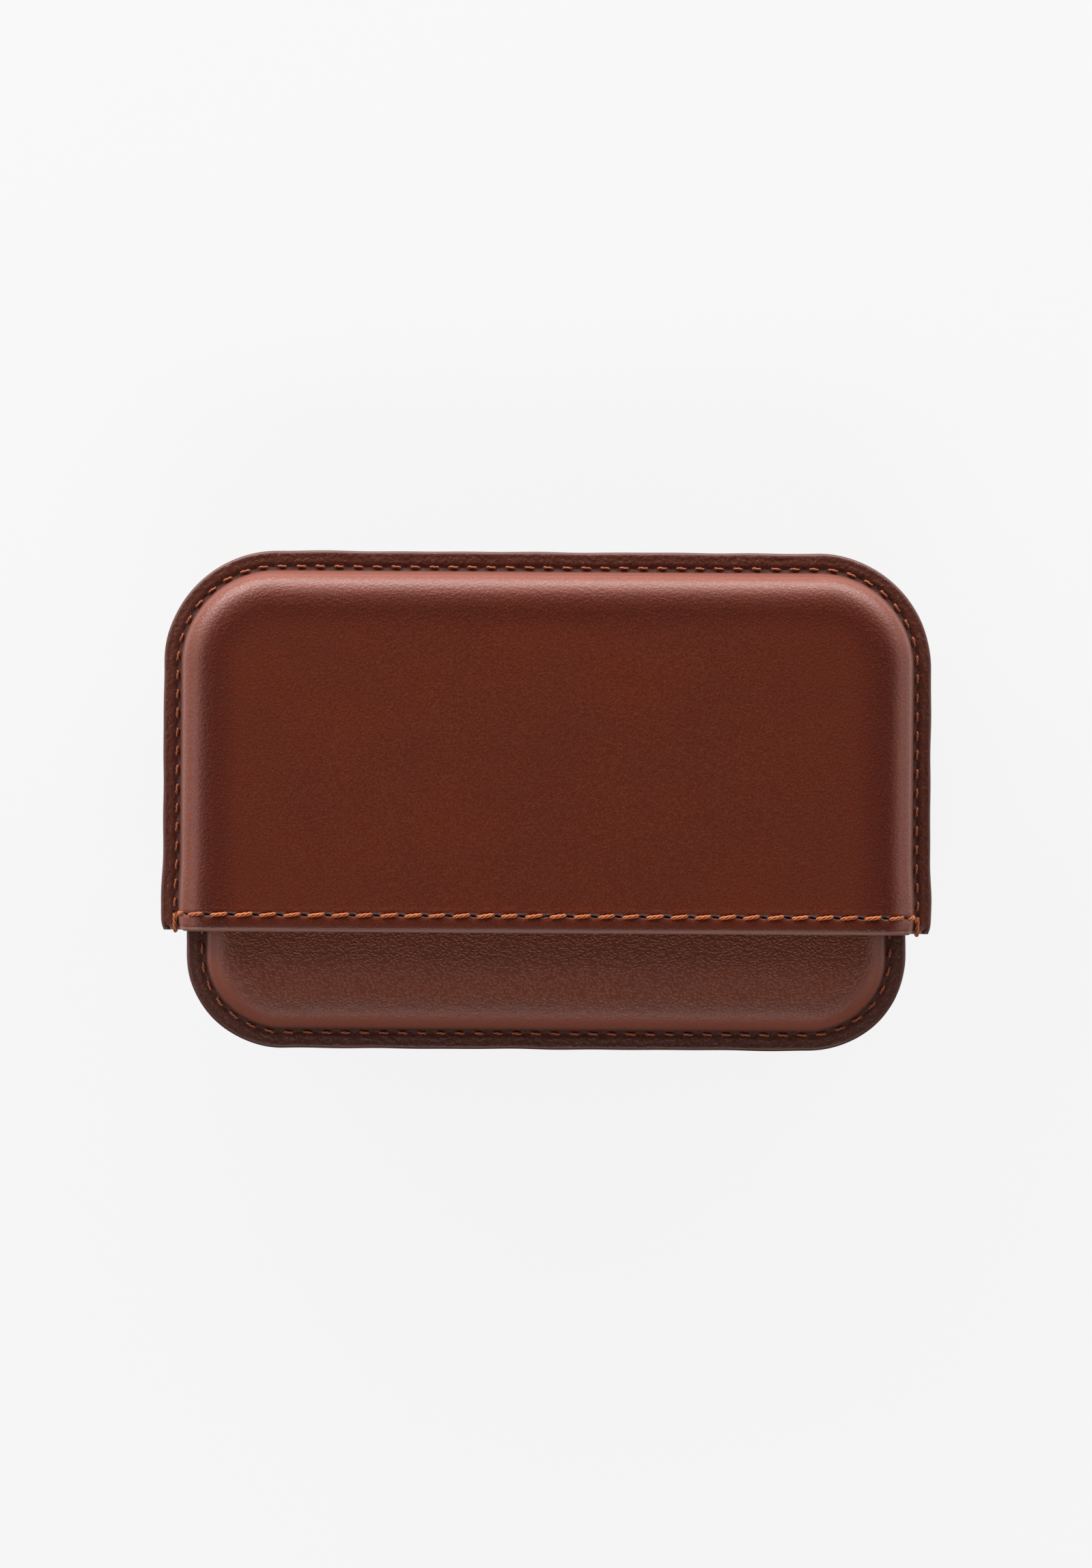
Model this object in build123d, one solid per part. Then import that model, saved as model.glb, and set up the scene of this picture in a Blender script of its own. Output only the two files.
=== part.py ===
from build123d import *
import math
import os
from dataclasses import dataclass

# Slip-cover eyeglasses case of moulded calf leather.
#
# Two halves telescope: a pocket, which holds the folded eyeglasses, and a slightly larger cover, which pulls off
# along +Y. Each half is a front and a back panel moulded into a shallow tray with a flat flange round three sides.
# The two flanges are glued and sewn together and their cut edge is painted. Every panel is built up, from outside
# in, of calf leather, a stiffener board behind the flat face, and a lining, with a leather facing just inside the
# mouth. A second row of stitches runs across each panel just behind the mouth.
#
# The case lies on its back: X is its width, +Y is the way the cover pulls off, +Z points out of the front face.
# The origin is under the middle of the case, on the surface that it rests on. All sizes are in millimetres.

# ---- Outline of the two halves ----
cover_width = 165.0
cover_length = 82.0
pocket_length = 84.7
case_thickness = 34.0
cover_side_flange = 3.9
cover_end_flange = 4.4
pocket_flange = 4.4
cover_tray_corner = 20.2
pocket_tray_corner = 16.1
shoulder_radius = 8.0

# ---- Material thicknesses ----
leather = 1.0
board = 0.6
lining = 0.4
glue = 0.1
paint = 0.2
paint_gap = 0.03

# ---- Fits between the two halves ----
side_clearance = 0.3
face_clearance = 0.8
stop_gap = 1.0

# ---- Inside the panels ----
facing_depth = 12.0
board_margin = 0.5
board_setback = 1.0

# ---- Stitching ----
thread_width = 0.7
thread_height = 0.4
thread_leg = 0.45
thread_clearance = 0.1
slit_side_clearance = 0.2
flange_pitch = 4.1
flange_slit_gap = 1.1
flange_seam_offset = 0.85
mouth_pitch = 5.1
mouth_slit_gap = 1.3
mouth_seam_inset = 3.7
mouth_seam_foot = 2.6
tack_depth = 2.3
least_wall = 0.5

# ---- Worked out from the sizes above ----
wall_stack = leather + glue + lining
face_stack = leather + glue + board + glue + lining
lining_floor = glue / 2
leather_floor = lining_floor + lining + glue
flange_top = leather_floor + leather
groove_depth = thread_clearance + thread_height + thread_clearance
cut_edge = paint + paint_gap
thread_side = thread_width / 2
slit_half_width = thread_side + slit_side_clearance


@dataclass
class Form:
    """One half of the case: mouth at y = 0, closed end towards +Y, its two panels meeting at z = 0."""

    edge: float
    length: float
    side_flange: float
    end_flange: float
    tray_corner: float
    crown: float

    @property
    def tray_half(self):
        return self.edge - self.side_flange

    @property
    def tray_end(self):
        return self.length - self.end_flange

    @property
    def edge_corner(self):
        return self.tray_corner + self.end_flange

    @property
    def shoulder(self):
        """The radius of the shoulder, which leaves a little straight wall above the foot of the mouth seam."""
        inside_wall = self.crown - face_stack - mouth_seam_foot
        return min(shoulder_radius, inside_wall - least_wall + wall_stack)


cover_form = Form(
    edge=cover_width / 2,
    length=cover_length,
    side_flange=cover_side_flange,
    end_flange=cover_end_flange,
    tray_corner=cover_tray_corner,
    crown=case_thickness / 2,
)
# The pocket's flange slides inside the cover's side walls, and its faces inside the cover's faces.
pocket_form = Form(
    edge=cover_form.tray_half - wall_stack - side_clearance,
    length=pocket_length,
    side_flange=pocket_flange,
    end_flange=pocket_flange,
    tray_corner=pocket_tray_corner,
    crown=cover_form.crown - face_stack - face_clearance,
)

# Closed, the pocket's square mouth corners are just short of wedging in the curve of the cover's inside corners.
inside_corner = cover_tray_corner - wall_stack
wedge_depth = math.sqrt(inside_corner**2 - (inside_corner - side_clearance) ** 2)
case_length = pocket_length + stop_gap + cover_tray_corner + cover_end_flange - wedge_depth
cover_mouth_y = case_length / 2 - cover_length
pocket_mouth_y = pocket_length - case_length / 2


def arch(half_width, end, corner, start):
    """A flat outline with straight sides from start to two rounded corners at end."""
    outline = Pos(0, (start + end) / 2) * Rectangle(2 * half_width, end - start)
    return fillet(outline.vertices().sort_by(Axis.Y)[-2:], corner)


def plate(form, floor, thickness, inset):
    """A flat plate with the outline of the flange, set in from the painted edge."""
    outline = arch(form.edge - inset, form.length - inset, form.edge_corner - inset, 0)
    return extrude(Pos(0, 0, floor) * outline, thickness)


def tray(form, inset, drop, floor):
    """The block under the moulded face, set in from its outside by inset at the walls and by drop at the face."""
    run_out = form.length / 4
    outline = arch(form.tray_half - inset, form.tray_end - inset, form.tray_corner - inset, -run_out)
    block = extrude(Pos(0, 0, floor) * outline, form.crown - drop - floor)
    rim = block.edges().group_by(Axis.Z)[-1].sort_by(Axis.Y)[1:]
    return fillet(rim, form.shoulder - inset)


def slab(form, start, end):
    """Everything between two stations along the half."""
    size = 4 * form.edge
    return Pos(0, (start + end) / 2, 0) * Box(size, end - start, size)


def layer(form, inset, drop, thickness, floor, start, end):
    """One moulded layer of a panel: a tray of even thickness with its flange, from start to end along the half."""
    solid = tray(form, inset, drop, floor) + plate(form, floor, thickness, cut_edge)
    solid -= tray(form, inset + thickness, drop + thickness, floor - leather)
    return solid & slab(form, start, end)


# ---- Seams ----


def flange_seam(form):
    """The line of the flange seam, mouth to mouth round the closed end."""
    side = form.tray_half + flange_seam_offset
    end = form.tray_end + flange_seam_offset
    corners = [(-side, tack_depth), (-side, end), (side, end), (side, tack_depth)]
    return FilletPolyline(*corners, radius=form.tray_corner + flange_seam_offset)


def flange_slits(form):
    """The place and direction of each slit along the flange seam, as locations with X along the seam."""
    seam = flange_seam(form)
    count = round(seam.length / flange_pitch)
    found = []
    for n in range(count + 1):
        at = seam.length * n / count
        point = seam.position_at(at, position_mode=PositionMode.LENGTH)
        way = seam.tangent_at(at, position_mode=PositionMode.LENGTH)
        found.append(Location((point.X, point.Y, 0), (0, 0, math.degrees(math.atan2(way.Y, way.X)))))
    return found


def flange_slit_cuts(form):
    """One block for each slit through the whole flange."""
    length = flange_slit_gap + 2 * (thread_leg + thread_clearance)
    cut = Box(length, 2 * slit_half_width, 4 * flange_top)
    return [place * cut for place in flange_slits(form)]


def flange_stitches(form):
    """The front needle thread of the flange seam: one staple from each slit to the next."""
    places = flange_slits(form)
    stitches = []
    for a, b in zip(places, places[1:]):
        chord = b.position - a.position
        reach = (chord.length - flange_slit_gap) / 2
        top = flange_top + thread_clearance + thread_height
        under = flange_top + thread_clearance
        foot = glue / 2
        inner = reach - thread_leg
        outline = Polyline(
            (-reach, foot), (-reach, top), (reach, top), (reach, foot),
            (inner, foot), (inner, under), (-inner, under), (-inner, foot), close=True,
        )
        profile = Plane.XZ * make_face(outline)
        middle = (a.position + b.position) / 2
        turn = math.degrees(math.atan2(chord.Y, chord.X))
        stitches.append(Location(tuple(middle), (0, 0, turn)) * extrude(profile, thread_side, both=True))
    return stitches


def mouth_line(form, inset, drop):
    """The profile of the panel across the mouth, drawn with x across and y for the height."""
    side = form.tray_half - inset
    top = form.crown - drop
    corners = [(-side, mouth_seam_foot), (-side, top), (side, top), (side, mouth_seam_foot)]
    return FilletPolyline(*corners, radius=form.shoulder - inset)


@dataclass
class Post:
    """One slit of a mouth seam: its point outside and inside the panel, and how far along each line it is."""

    outside: Vector
    inside: Vector
    stations: tuple

    @property
    def out(self):
        return (self.outside - self.inside).normalized()

    @property
    def depth(self):
        return (self.outside - self.inside).length


def mouth_posts(form):
    """The slits of the mouth seam, evenly spaced over the outside of the panel."""
    outer = mouth_line(form, 0, 0)
    inner = mouth_line(form, wall_stack, face_stack)
    margin = mouth_slit_gap / 2 + thread_leg
    run = outer.length - 2 * margin
    count = round(run / mouth_pitch)
    posts = []
    for n in range(count + 1):
        at = margin + run * n / count
        point = outer.position_at(at, position_mode=PositionMode.LENGTH)
        nearest = inner.distance_to_with_closest_points(point)[1]
        posts.append(Post(point, nearest, (at, inner.param_at_point(nearest) * inner.length)))
    return posts


def lifted(line, station, height):
    """The point at a station along a line, lifted off it along its normal."""
    way = line.tangent_at(station, position_mode=PositionMode.LENGTH)
    return line.position_at(station, position_mode=PositionMode.LENGTH) + Vector(-way.Y, way.X, 0) * height


def bar_edge(line, start, end, height):
    """One long edge of a stitch: straight on a flat face, an arc where it goes over a shoulder."""
    points = [lifted(line, at, height) for at in (start, (start + end) / 2, end)]
    bow = (points[1] - (points[0] + points[2]) / 2).length
    return Line(points[0], points[2]) if bow < 1e-3 else ThreePointArc(*points)


def mouth_stitch(line, a, b, from_inside):
    """One staple between two slits of the mouth seam, sunk in the groove outside or lying on the facing inside."""
    side = -1 if from_inside else 1
    crest = side * (thread_clearance + thread_height) if from_inside else -thread_clearance / 2
    under = crest - side * thread_height
    start = a.stations[from_inside] + mouth_slit_gap / 2
    end = b.stations[from_inside] - mouth_slit_gap / 2
    top = bar_edge(line, start, end, crest)
    bottom = bar_edge(line, start + thread_leg, end - thread_leg, under)
    feet = [p.out * (-side * (p.depth / 2 - glue / 2)) for p in (a, b)]
    outer_feet = [lifted(line, at, 0) + foot for at, foot in zip((start, end), feet)]
    inner_feet = [lifted(line, at, 0) + foot for at, foot in zip((start + thread_leg, end - thread_leg), feet)]
    outline = [
        top,
        Line(top @ 1, outer_feet[1]),
        Line(outer_feet[1], inner_feet[1]),
        Line(inner_feet[1], bottom @ 1),
        bottom,
        Line(bottom @ 0, inner_feet[0]),
        Line(inner_feet[0], outer_feet[0]),
        Line(outer_feet[0], top @ 0),
    ]
    profile = Plane.XZ * make_face(outline)
    return Pos(0, mouth_seam_inset, 0) * extrude(profile, thread_side, both=True)


def mouth_stitches(form, from_inside):
    """All the staples on one side of a mouth seam."""
    inset, drop = (wall_stack, face_stack) if from_inside else (0, 0)
    line = mouth_line(form, inset, drop)
    posts = mouth_posts(form)
    return [mouth_stitch(line, a, b, from_inside) for a, b in zip(posts, posts[1:])]


def mouth_slit_cuts(form):
    """One block for each slit of the mouth seam, through every layer of the panel."""
    length = mouth_slit_gap + 2 * (thread_leg + thread_clearance)
    cuts = []
    for post in mouth_posts(form):
        middle = (post.outside + post.inside) / 2
        lean = math.degrees(math.atan2(post.out.Y, post.out.X)) - 90
        block = Box(length, 2 * slit_half_width, post.depth + 2 * leather)
        cuts.append(Location((middle.X, mouth_seam_inset, middle.Y), (0, -lean, 0)) * block)
    return cuts


def mouth_groove(form):
    """The shallow groove that the outside stitches of the mouth seam lie in."""
    ring = tray(form, -leather, -leather, mouth_seam_foot) - tray(form, groove_depth, groove_depth, 0)
    return ring & slab(form, mouth_seam_inset - slit_half_width, mouth_seam_inset + slit_half_width)


# ---- The pieces of one panel, as if it were the front one ----


def leather_panel(form):
    shell = layer(form, 0, 0, leather, leather_floor, 0, form.length)
    return shell - mouth_groove(form) - flange_slit_cuts(form) - mouth_slit_cuts(form)


def lining_panel(form):
    drop = face_stack - lining
    shell = layer(form, wall_stack - lining, drop, lining, lining_floor, facing_depth + glue, form.length)
    return shell - flange_slit_cuts(form)


def mouth_facing(form):
    drop = face_stack - lining
    shell = layer(form, wall_stack - lining, drop, lining, lining_floor, 0, facing_depth)
    return shell - flange_slit_cuts(form) - mouth_slit_cuts(form)


def stiffener(form):
    inset = form.shoulder + board_margin
    outline = arch(form.tray_half - inset, form.tray_end - inset, form.tray_corner - inset, board_setback)
    return extrude(Pos(0, 0, form.crown - leather - glue - board) * outline, board) - mouth_slit_cuts(form)


def mouth_edge_paint(form):
    """The painted lip over the cut edges of the panel at the mouth."""
    lip = tray(form, 0, 0, lining_floor) + plate(form, lining_floor, flange_top - lining_floor, 0)
    lip -= tray(form, wall_stack, face_stack, -leather)
    return Pos(0, -paint, 0) * (lip & slab(form, 0, paint))


# ---- Pieces that belong to both panels ----


def flange_edge_paint(form):
    """The painted bead over the cut edge of the two flanges, round three sides."""
    outside = plate(form, -flange_top, 2 * flange_top, 0)
    inside = plate(form, -2 * flange_top, 4 * flange_top, paint)
    return outside - inside


def mouth_tacks(form):
    """A loop of thread at each mouth corner, through the first slit and round the painted mouth edge."""
    lip = paint + thread_clearance
    near = tack_depth - flange_slit_gap / 2
    half = flange_top + thread_clearance
    opening = Pos((near - thread_leg - lip) / 2, 0) * Rectangle(near - thread_leg + lip, 2 * half)
    loop = offset(opening, thread_height, kind=Kind.INTERSECTION) - opening
    ring = extrude(Plane.YZ * loop, thread_side, both=True)
    side = form.tray_half + flange_seam_offset
    return [Pos(-side, 0, 0) * ring, Pos(side, 0, 0) * ring]


def pieces(form):
    """Every piece of one half by name, with the front panel above z = 0 and the back panel below it."""
    front = {
        "leather": leather_panel(form),
        "stiffener": stiffener(form),
        "lining": lining_panel(form),
        "mouth_facing": mouth_facing(form),
        "mouth_edge_paint": mouth_edge_paint(form),
        "flange_stitches": flange_stitches(form),
        "mouth_stitches_outside": mouth_stitches(form, False),
        "mouth_stitches_inside": mouth_stitches(form, True),
    }
    made = {}
    for name, shape in front.items():
        solids = shape if isinstance(shape, list) else [shape]
        made["front_" + name] = solids
        made["back_" + name] = [Rot(0, 180, 0) * s for s in solids]
    made["flange_edge_paint"] = [flange_edge_paint(form)]
    made["mouth_corner_tacks"] = mouth_tacks(form)
    return made


def write(half, form, place):
    """Writes each piece of a half to its own STEP file, in its place in the closed case."""
    for name, solids in pieces(form).items():
        placed = [solid for shape in solids for solid in (place * shape).solids()]
        node = Compound(children=placed, label=f"{half}_{name}")
        export_step(node, f"parts/{half}_{name}.step")


def main():
    os.makedirs("parts", exist_ok=True)
    middle = case_thickness / 2
    write("cover", cover_form, Location((0, cover_mouth_y, middle)))
    write("pocket", pocket_form, Location((0, pocket_mouth_y, middle), (0, 0, 180)))
    print("case", cover_width, "x", case_length, "x", case_thickness)
    print("pocket half width", pocket_form.edge, "crown", pocket_form.crown)
    print("cavity", 2 * (pocket_form.tray_half - wall_stack), "x", 2 * (pocket_form.crown - face_stack))


main()
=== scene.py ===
# %% [markdown]
# # A slip-cover eyeglasses case in moulded leather
#
# The case is two leather shells that telescope: a pocket that holds the eyeglasses, and a cover that pulls
# off. The frame brings in the engineered pieces at their real size. Here each one gets the shape and finish
# that a leather worker's hands give it: soft shoulders, a rounded painted edge, twisted thread that bites
# into the hide. Everything is worked out in millimetres in numpy and turned into metres when it becomes a
# mesh.

# %% Load the engineered frame
import math

import bpy
import numpy as np
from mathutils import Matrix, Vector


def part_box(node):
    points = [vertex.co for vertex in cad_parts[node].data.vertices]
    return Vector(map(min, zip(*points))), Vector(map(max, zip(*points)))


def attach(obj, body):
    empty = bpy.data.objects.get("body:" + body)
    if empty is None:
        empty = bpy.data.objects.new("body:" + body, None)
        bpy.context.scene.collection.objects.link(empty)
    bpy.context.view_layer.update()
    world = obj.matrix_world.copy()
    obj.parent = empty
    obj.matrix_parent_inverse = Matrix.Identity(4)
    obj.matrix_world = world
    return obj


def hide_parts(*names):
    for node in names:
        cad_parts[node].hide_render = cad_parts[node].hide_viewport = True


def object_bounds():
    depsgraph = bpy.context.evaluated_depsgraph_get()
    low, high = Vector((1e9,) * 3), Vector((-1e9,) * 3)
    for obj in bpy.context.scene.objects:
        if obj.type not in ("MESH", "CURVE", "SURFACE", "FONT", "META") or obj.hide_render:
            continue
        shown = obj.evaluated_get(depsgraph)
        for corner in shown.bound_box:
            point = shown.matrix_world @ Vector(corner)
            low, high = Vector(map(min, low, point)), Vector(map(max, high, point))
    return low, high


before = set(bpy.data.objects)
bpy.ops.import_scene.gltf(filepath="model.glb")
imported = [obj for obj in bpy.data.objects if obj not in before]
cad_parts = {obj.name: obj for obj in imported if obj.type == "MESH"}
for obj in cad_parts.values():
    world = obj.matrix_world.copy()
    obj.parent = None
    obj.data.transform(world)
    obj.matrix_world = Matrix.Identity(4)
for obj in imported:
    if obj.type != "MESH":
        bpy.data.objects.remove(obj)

cad_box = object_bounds()
MM = 0.001

# %% [markdown]
# ## The two halves and their measures
#
# Each half is worked on in a frame of its own: its mouth lies at y = 0, its closed end towards +y, and its
# two panels meet at z = 0. The overall measures are read from the frame's boxes. Only the widths of the
# flange and the roundness of the corners are stated again, because a box can't tell them.

# %% Measure both halves


def box_mm(node):
    """The lowest and highest corner of a node, in millimetres."""
    low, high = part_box(node)
    return np.array(low) / MM, np.array(high) / MM


class Half:
    """The measures of one half of the case, in its own frame."""

    def __init__(self, name, turn, side_flange, end_flange, tray_corner):
        low, high = box_mm(name + "_flange_edge_paint")
        self.name = name
        self.turn = turn
        self.edge = high[0]
        self.length = high[1] - low[1]
        self.mouth = low[1] if turn > 0 else high[1]
        self.middle = (low[2] + high[2]) / 2
        self.flange_top = (high[2] - low[2]) / 2
        self.crown = box_mm(name + "_front_leather")[1][2] - self.middle
        self.side_flange = side_flange
        self.end_flange = end_flange
        self.edge_corner = tray_corner + end_flange
        self.tray_half = self.edge - side_flange
        self.tray_end = self.length - end_flange


cover = Half("cover", 1, side_flange=3.9, end_flange=4.4, tray_corner=20.2)
pocket = Half("pocket", -1, side_flange=4.4, end_flange=4.4, tray_corner=16.1)
halves = (cover, pocket)
panels = [(half, back) for half in halves for back in (False, True)]
sides = {False: "front", True: "back"}
for half in halves:
    measures = {"edge": half.edge, "length": half.length, "crown": half.crown}
    print(half.name, {name: round(float(value), 2) for name, value in measures.items()})

# %% [markdown]
# ## Helpers that every piece uses
#
# A smooth step blends one shape into the next. `in_place` carries points from a half's own frame to the
# row's frame: the back panel is the front one turned over about the y axis, and the pocket is turned end for
# end. Both are rotations, so a shape that faces outwards still does so afterwards.

# %% Blend, place and build meshes


def step(x, low, high):
    """Goes from 0 below low to 1 above high along 3t^2 - 2t^3, where t is how far x is from low to high."""
    t = np.clip((x - low) / (high - low), 0, 1)
    return t * t * (3 - 2 * t)


def bell(x, width):
    """A bell curve, exp(-(x / width)^2): 1 at x = 0 and about a third at x = width."""
    return np.exp(-((x / width) ** 2))


def in_place(half, points, back=False):
    """Takes points from the half's own frame, in millimetres, to the row's frame, in metres."""
    x, y, z = np.moveaxis(np.asarray(points, float), -1, 0)
    if back:
        x, z = -x, -z
    return np.stack([half.turn * x, half.mouth + half.turn * y, half.middle + z], -1) * MM


def make_piece(name, points, faces, attributes=None):
    """A smooth mesh object from points in metres, lists of faces, and named values for its points."""
    mesh = bpy.data.meshes.new(name)
    polygons = [list(map(int, face)) for group in faces for face in group]
    mesh.from_pydata(points.reshape(-1, 3).tolist(), [], polygons)
    for key, values in (attributes or {}).items():
        layer = mesh.attributes.new(key, "FLOAT", "POINT")
        layer.data.foreach_set("value", np.asarray(values, np.float32).ravel())
    mesh.shade_smooth()
    mesh.update()
    piece = bpy.data.objects.new(name, mesh)
    bpy.context.scene.collection.objects.link(piece)
    return piece


def grid_faces(index, closed=False):
    """The quads between the rows and columns of a grid of point numbers, which may close on itself across."""
    if closed:
        index = np.concatenate([index, index[:, :1]], 1)
    return np.stack([index[:-1, :-1], index[:-1, 1:], index[1:, 1:], index[1:, :-1]], -1).reshape(-1, 4)


def rim_of(index):
    """The point numbers round the rim of a grid, anticlockwise from its first corner and back to it."""
    return np.concatenate([index[0], index[1:, -1], index[-1, -2::-1], index[-2::-1, 0]])


def thinned(count, skip):
    """Every skip-th number below count, and always the last one."""
    return np.unique(np.append(np.arange(0, count, skip), count - 1))


def closed_sheet(outer, inner, skip=1):
    """Points and faces of a sheet with two skins and a rim. The inner skin keeps every skip-th line."""
    rows, columns = outer.shape[:2]
    index = np.arange(rows * columns).reshape(rows, columns)
    kept = np.ix_(thinned(rows, skip), thinned(columns, skip))
    under = index.size + np.arange(index[kept].size).reshape(index[kept].shape)
    fine, coarse, stops = rim_of(index), rim_of(under), rim_of(index[kept])
    at = np.searchsorted(np.cumsum(np.isin(fine, stops)), np.arange(len(stops)) + 1)
    rim = [[*fine[at[k] : at[k + 1] + 1][::-1], coarse[k], coarse[k + 1]] for k in range(len(at) - 1)]
    points = np.concatenate([outer.reshape(-1, 3), inner[kept].reshape(-1, 3)])
    return points, [grid_faces(index), grid_faces(under)[:, ::-1], rim]


# %% [markdown]
# ## The profile of a moulded panel
#
# Walking in from the cut edge, a panel's outside runs over the rounded edge, along the flat flange to the
# crease, then up a steep wall and over a soft shoulder to the face. On the real case this comes from
# pressing damp leather over a wooden form, so the shoulder eases out of the wall and into the face. The walk
# is a list of stations, each with its distance in from the flange's edge and its height.

# %% The profile across edge, flange and shoulder
edge_inset = 0.3
edge_round = 0.45
edge_drop = 0.85
crease_radius = 0.3
wall_tilt = math.radians(84)
shoulder_reach = 7.5
shoulder_rise = 5.4
wall_share = 0.92
shoulder_start, shoulder_bunching = 0.05, 0.95
dome_drop = 0.35
dome_centre = 0.42
rim_lines = 7
flange_lines = 9
crease_lines = 4
shoulder_lines = 28


def shoulder_walk(rise, count):
    """Up the tilted wall, then over a quarter ellipse: 1 - cos of the turn inwards, sin of it upwards."""
    wall = rise - shoulder_rise
    lean_in = wall / math.tan(wall_tilt)
    foot = np.linspace(0, wall_share, max(2, count // 5))[:, None] * np.array([[lean_in, wall]])
    turn = np.linspace(shoulder_start, 1, count - len(foot)) ** shoulder_bunching * math.pi / 2
    inwards = lean_in + shoulder_reach * (1 - np.cos(turn))
    return np.concatenate([foot, np.stack([inwards, wall + shoulder_rise * np.sin(turn)], 1)])


def panel_profile(half, lines=1.0):
    """Distance in and height of each station, from the cut edge to where the face starts."""

    def count(n):
        return max(2, round(n * lines))

    top = half.flange_top
    turn = np.linspace(0, math.pi / 2, count(rim_lines))
    rim = np.stack([edge_inset + edge_round * (1 - np.cos(turn)), top - edge_drop * (1 - np.sin(turn))], 1)
    inner = half.end_flange - crease_radius
    across = np.linspace(rim[-1, 0], inner, count(flange_lines) + 2)[1:-1]
    flange = np.stack([across, np.full_like(across, top)], 1)
    turn = np.linspace(0, 1, count(crease_lines)) * wall_tilt
    crease = np.stack([inner + crease_radius * np.sin(turn), top + crease_radius * (1 - np.cos(turn))], 1)
    shoulder = shoulder_walk(half.crown - crease[-1, 1], count(shoulder_lines))[1:]
    return np.concatenate([rim, flange, crease, crease[-1] + shoulder])


def domed(half, x, y, z):
    """Lets the face fall away from its middle to its shoulders, as 0.6 u^2 + 0.4 v^2 of its half sizes."""
    u = x / half.tray_half
    v = (y - half.length * dome_centre) / (half.length * (1 - dome_centre))
    risen = (z - half.flange_top) / (half.crown - half.flange_top)
    return z - dome_drop * np.clip(0.6 * u * u + 0.4 * v * v, 0, 1) * np.clip(risen, 0, 1)


for half in halves:
    walk = panel_profile(half)
    print(half.name, "profile stations", len(walk), "shoulder ends", round(walk[-1, 0], 2), "mm in")

# %% [markdown]
# ## The nested outlines
#
# Seen from the front, every line at one distance from the edge is an arch: two straight sides, two rounded
# corners and a straight end. The corner gets tighter as the line moves in. A point on an arch is named by
# how far it is along the line, from the mouth up to the middle of the corner, or from the middle of the end
# out to it.

# %% Points on a nested arch


def arch_measures(half, inset):
    """Half width, end and corner radius of the outline that lies inset from the flange's edge."""
    on_flange = np.minimum(inset / half.end_flange, 1)
    inside = np.maximum(inset - half.end_flange, 0)
    width = half.edge - half.side_flange * on_flange - inside
    end = half.length - half.end_flange * on_flange - inside
    return width, end, np.maximum(half.edge_corner - inset, 1e-6)


def side_point(half, inset, along):
    """x and y of the point that is a length along the right side of an outline, from the mouth."""
    width, end, radius = arch_measures(half, inset)
    turn = np.maximum(along - (end - radius), 0) / radius
    x = width - radius + radius * np.cos(turn)
    return x, np.minimum(along, end - radius) + radius * np.sin(turn)


def end_point(half, inset, along):
    """x and y of the point that is a length along the end of an outline, from its middle to the right."""
    width, end, radius = arch_measures(half, inset)
    turn = np.maximum(along - (width - radius), 0) / radius
    y = end - radius + radius * np.cos(turn)
    return np.minimum(along, width - radius) + radius * np.sin(turn), y


def outline_length(half, inset):
    """The length of an outline from mouth to mouth: two sides, two quarter turns and the end."""
    width, end, radius = arch_measures(half, inset)
    return 2 * (end - radius + radius * math.pi / 2 + width - radius)


def outline_point(half, inset, walked):
    """x and y of points by the length walked from the left of the mouth, and the way outwards there."""
    width, end, radius = arch_measures(half, inset)
    total = outline_length(half, inset)
    near = np.minimum(walked, total - walked)
    turn = np.clip((near - (end - radius)) / radius, 0, math.pi / 2)
    run = np.maximum(near - (end - radius) - radius * math.pi / 2, 0)
    x = width - radius + radius * np.cos(turn) - run
    y = np.minimum(near, end - radius) + radius * np.sin(turn)
    right = np.where(walked > total / 2, 1, -1)
    return right * x, y, right * np.cos(turn), np.sin(turn)


for half in halves:
    print(half.name, "edge outline", round(float(outline_length(half, 0.0)), 1), "mm from mouth to mouth")

# %% [markdown]
# ## One grid for a whole panel
#
# The panel is a single grid. Its lines lie close together over the edge, the crease and the shoulder, where
# the shape bends, and near the mouth, where the stitches are. Towards a corner the lines from the side and
# the lines from the end share out the arc between them, so the grid turns the corner with no pole and no
# seam.

# %% Work out a panel's grid
seam_row = 3.7
mouth_start = 0.25
seam_stretch = 8.0
free_run = 20.0
leather_step = 0.55


def climbed(profile):
    """The length of leather between the stations of a profile."""
    return np.hypot(*np.diff(profile, axis=0).T)


def mouth_rows(depth, count):
    """Distances from the mouth that bunch up at the seam row, on a sinh curve either side of it."""
    u = np.linspace(-1, 1, 2 * count + 1)
    spread = np.sinh(2.2 * u) / np.sinh(2.2)
    return seam_row + np.where(u < 0, seam_row - mouth_start, depth - seam_row) * spread


def even_rows(first, last, spacing):
    """Evenly spaced rows from first to last, about spacing apart."""
    return np.linspace(first, last, max(2, round((last - first) / spacing) + 1))


def share_out(reach, level_reach, line_length):
    """Lengths along an outline: kept for the first stretch, and past it scaled to end at the corner."""
    scale = (line_length - free_run) / np.maximum(level_reach - free_run, 1e-6)
    return np.where(reach < free_run, reach, free_run + (reach - free_run) * scale)


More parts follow.
